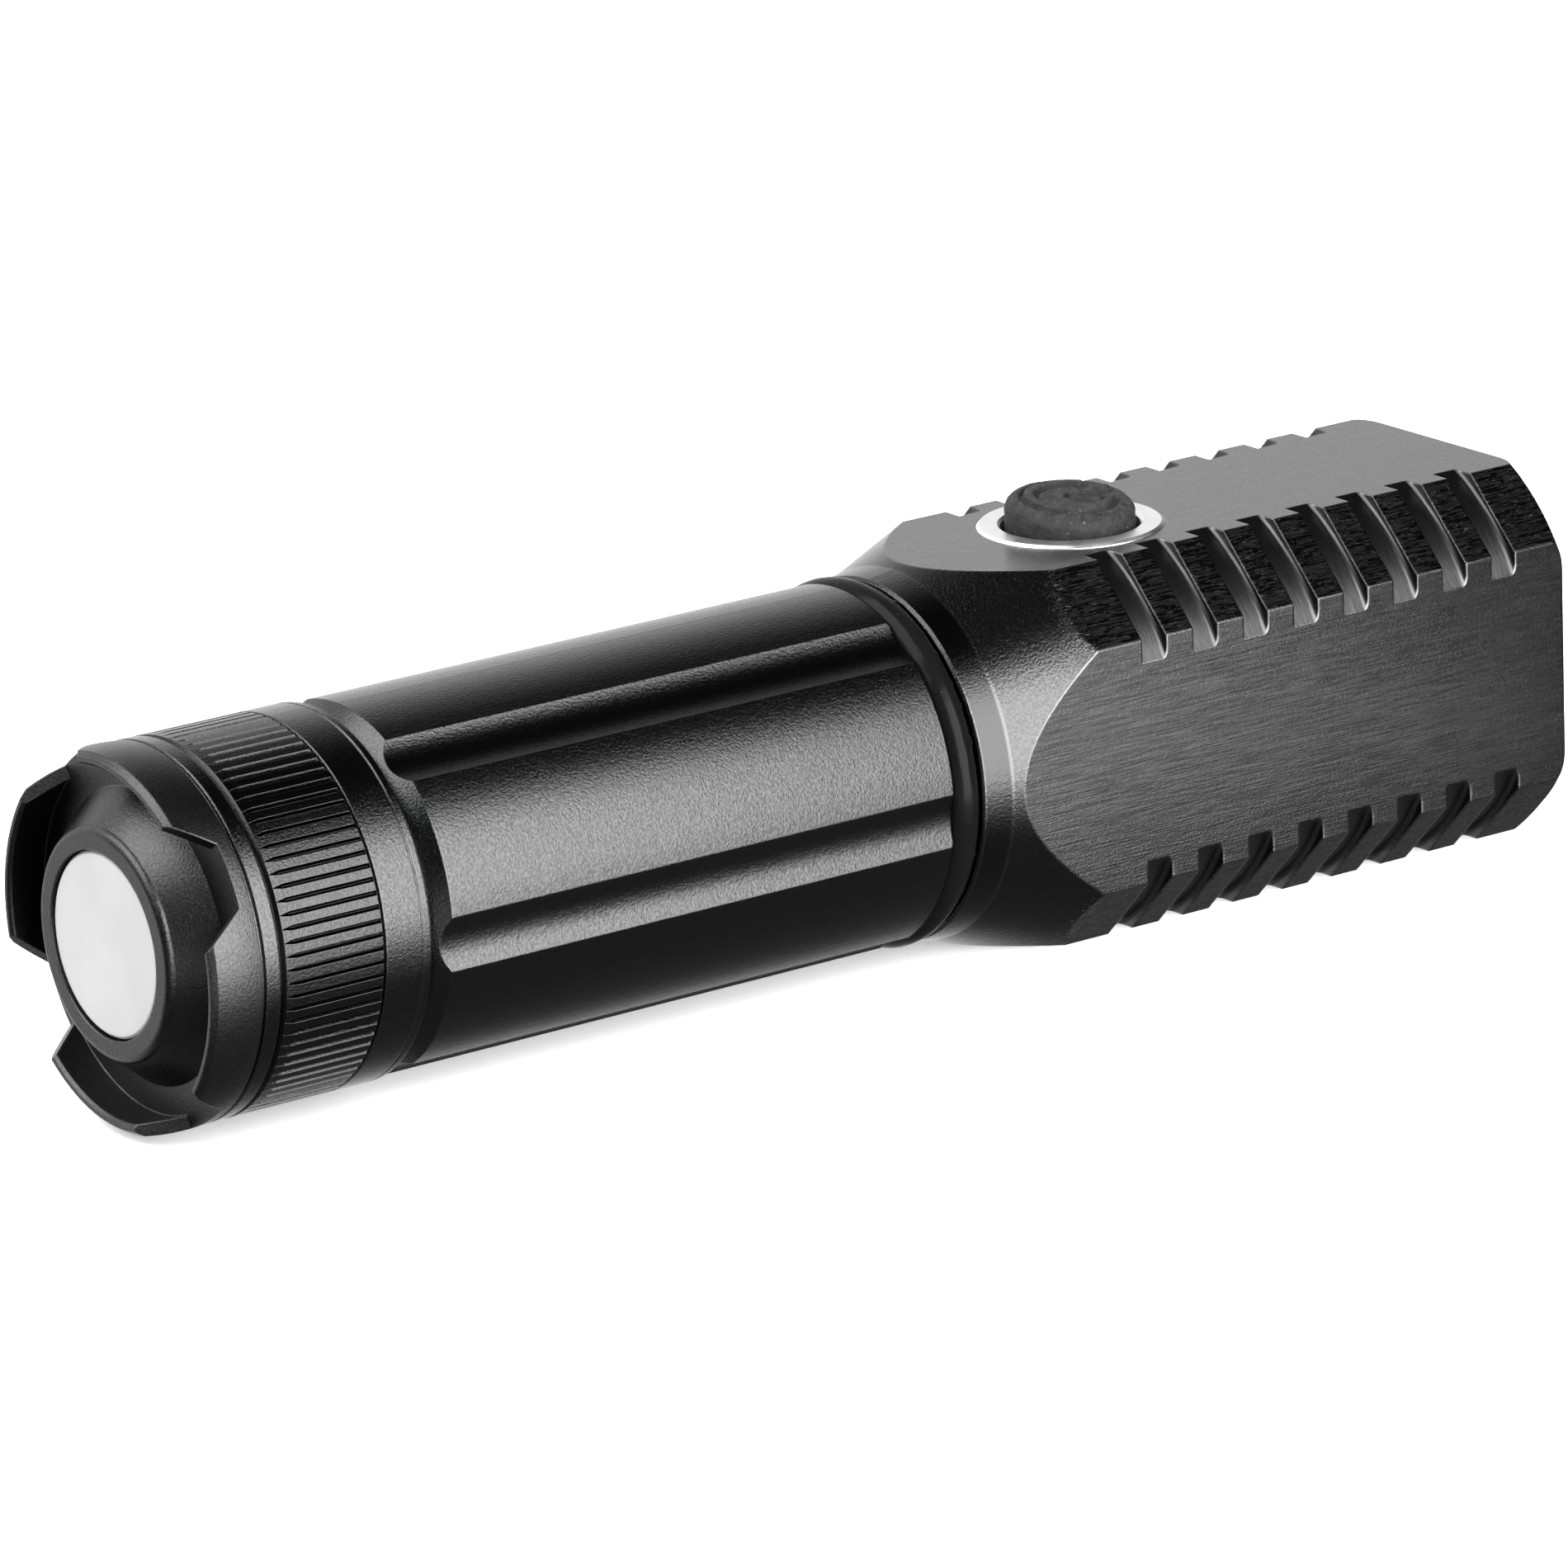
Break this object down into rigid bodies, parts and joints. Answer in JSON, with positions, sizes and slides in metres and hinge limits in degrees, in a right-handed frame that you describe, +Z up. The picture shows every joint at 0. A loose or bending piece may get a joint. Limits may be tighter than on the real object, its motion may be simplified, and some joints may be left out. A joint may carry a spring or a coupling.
{
  "type": "tactical flashlight",
  "caption": "Tactical flashlight with a square finned head, a side switch button, a fluted battery tube and a crowned magnetic tail cap; the cap and the head unscrew.",
  "frame": {"origin": "middle of the light's length and width, on the plane of the head's lower flat, which it lies on", "axes": "+X from the tail cap to the lens, along the light's axis; +Z up, towards the switch; +Y to the left seen from the tail"},
  "size_m": [0.1332, 0.0316, 0.0344],
  "materials": {
    "head_anodise": "satin",
    "tube_anodise": "satin",
    "cap_anodise": "satin",
    "bezel_anodise": "satin",
    "lens_glass": "gloss",
    "clear_silicone": "satin",
    "copper_plate": "satin",
    "white_board": "matte",
    "phosphor": "matte",
    "dome_silicone": "gloss",
    "white_plastic": "matte",
    "reflector_mirror": "polished",
    "red_insulation": "satin",
    "black_insulation": "satin",
    "circuit_board": "satin",
    "component_epoxy": "satin",
    "spring_steel": "satin",
    "brass_ring": "satin",
    "bright_ring": "polished",
    "switch_case": "matte",
    "boot_rubber": "matte",
    "black_plastic": "matte",
    "cell_can": "satin",
    "cell_sleeve": "satin",
    "plated_contact": "satin",
    "seal_rubber": "gloss",
    "nickel_plate": "satin"
  },
  "bodies": {
    "head": {"head_shell": "head_anodise", "bezel_ring": "bezel_anodise", "lens": "lens_glass", "lens_oring": "clear_silicone", "heat_spreader": "copper_plate", "led_board": "white_board", "led_emitter": "phosphor", "led_dome": "dome_silicone", "centring_ring": "white_plastic", "reflector": "reflector_mirror", "led_wire_positive": "red_insulation", "led_wire_negative": "black_insulation", "driver_board": "circuit_board", "driver_components": "component_epoxy", "driver_spring": "spring_steel", "driver_retainer": "brass_ring", "switch_ring": "bright_ring", "switch_board": "circuit_board", "tact_switch": "switch_case", "switch_wires": "black_insulation"},
    "switch_button": {"switch_boot": "boot_rubber", "switch_plunger": "black_plastic", "tact_stem": "black_plastic"},
    "battery": {"battery_can": "cell_can", "battery_sleeve": "cell_sleeve", "battery_insulator": "white_plastic", "battery_positive_cap": "plated_contact"},
    "tube": {"battery_tube": "tube_anodise", "front_oring": "seal_rubber", "tail_oring": "seal_rubber"},
    "tail_contact": {"tail_contact_board": "circuit_board", "tail_spring": "spring_steel"},
    "tail_cap": {"tail_cap": "cap_anodise", "tail_magnet": "nickel_plate", "contact_retainer": "brass_ring"}
  },
  "joints": [
    {"name": "switch_press", "type": "slide", "parent": "head", "child": "switch_button", "axis": [0, 0, -1], "range_m": [0, 0.0007], "stiffness_N_per_m": 2500, "springref_m": -0.0004},
    {"name": "tube_travel", "type": "slide", "parent": "head", "child": "battery", "axis": [-1, 0, 0], "range_m": [0, 0.00875]},
    {"name": "tube_unscrew", "type": "hinge", "parent": "battery", "child": "tube", "pos_m": [0, 0, 0.0158], "axis": [-1, 0, 0], "range_deg": [0, 2521]},
    {"name": "cap_travel", "type": "slide", "parent": "tube", "child": "tail_contact", "axis": [-1, 0, 0], "range_m": [0, 0.01125]},
    {"name": "cap_unscrew", "type": "hinge", "parent": "tail_contact", "child": "tail_cap", "pos_m": [0, 0, 0.0158], "axis": [-1, 0, 0], "range_deg": [0, 3241]}
  ],
  "couplings": [
    {"joint": "tube_unscrew", "follows": "tube_travel", "rad_per_m": 5026.5},
    {"joint": "cap_unscrew", "follows": "cap_travel", "rad_per_m": 5026.5}
  ]
}
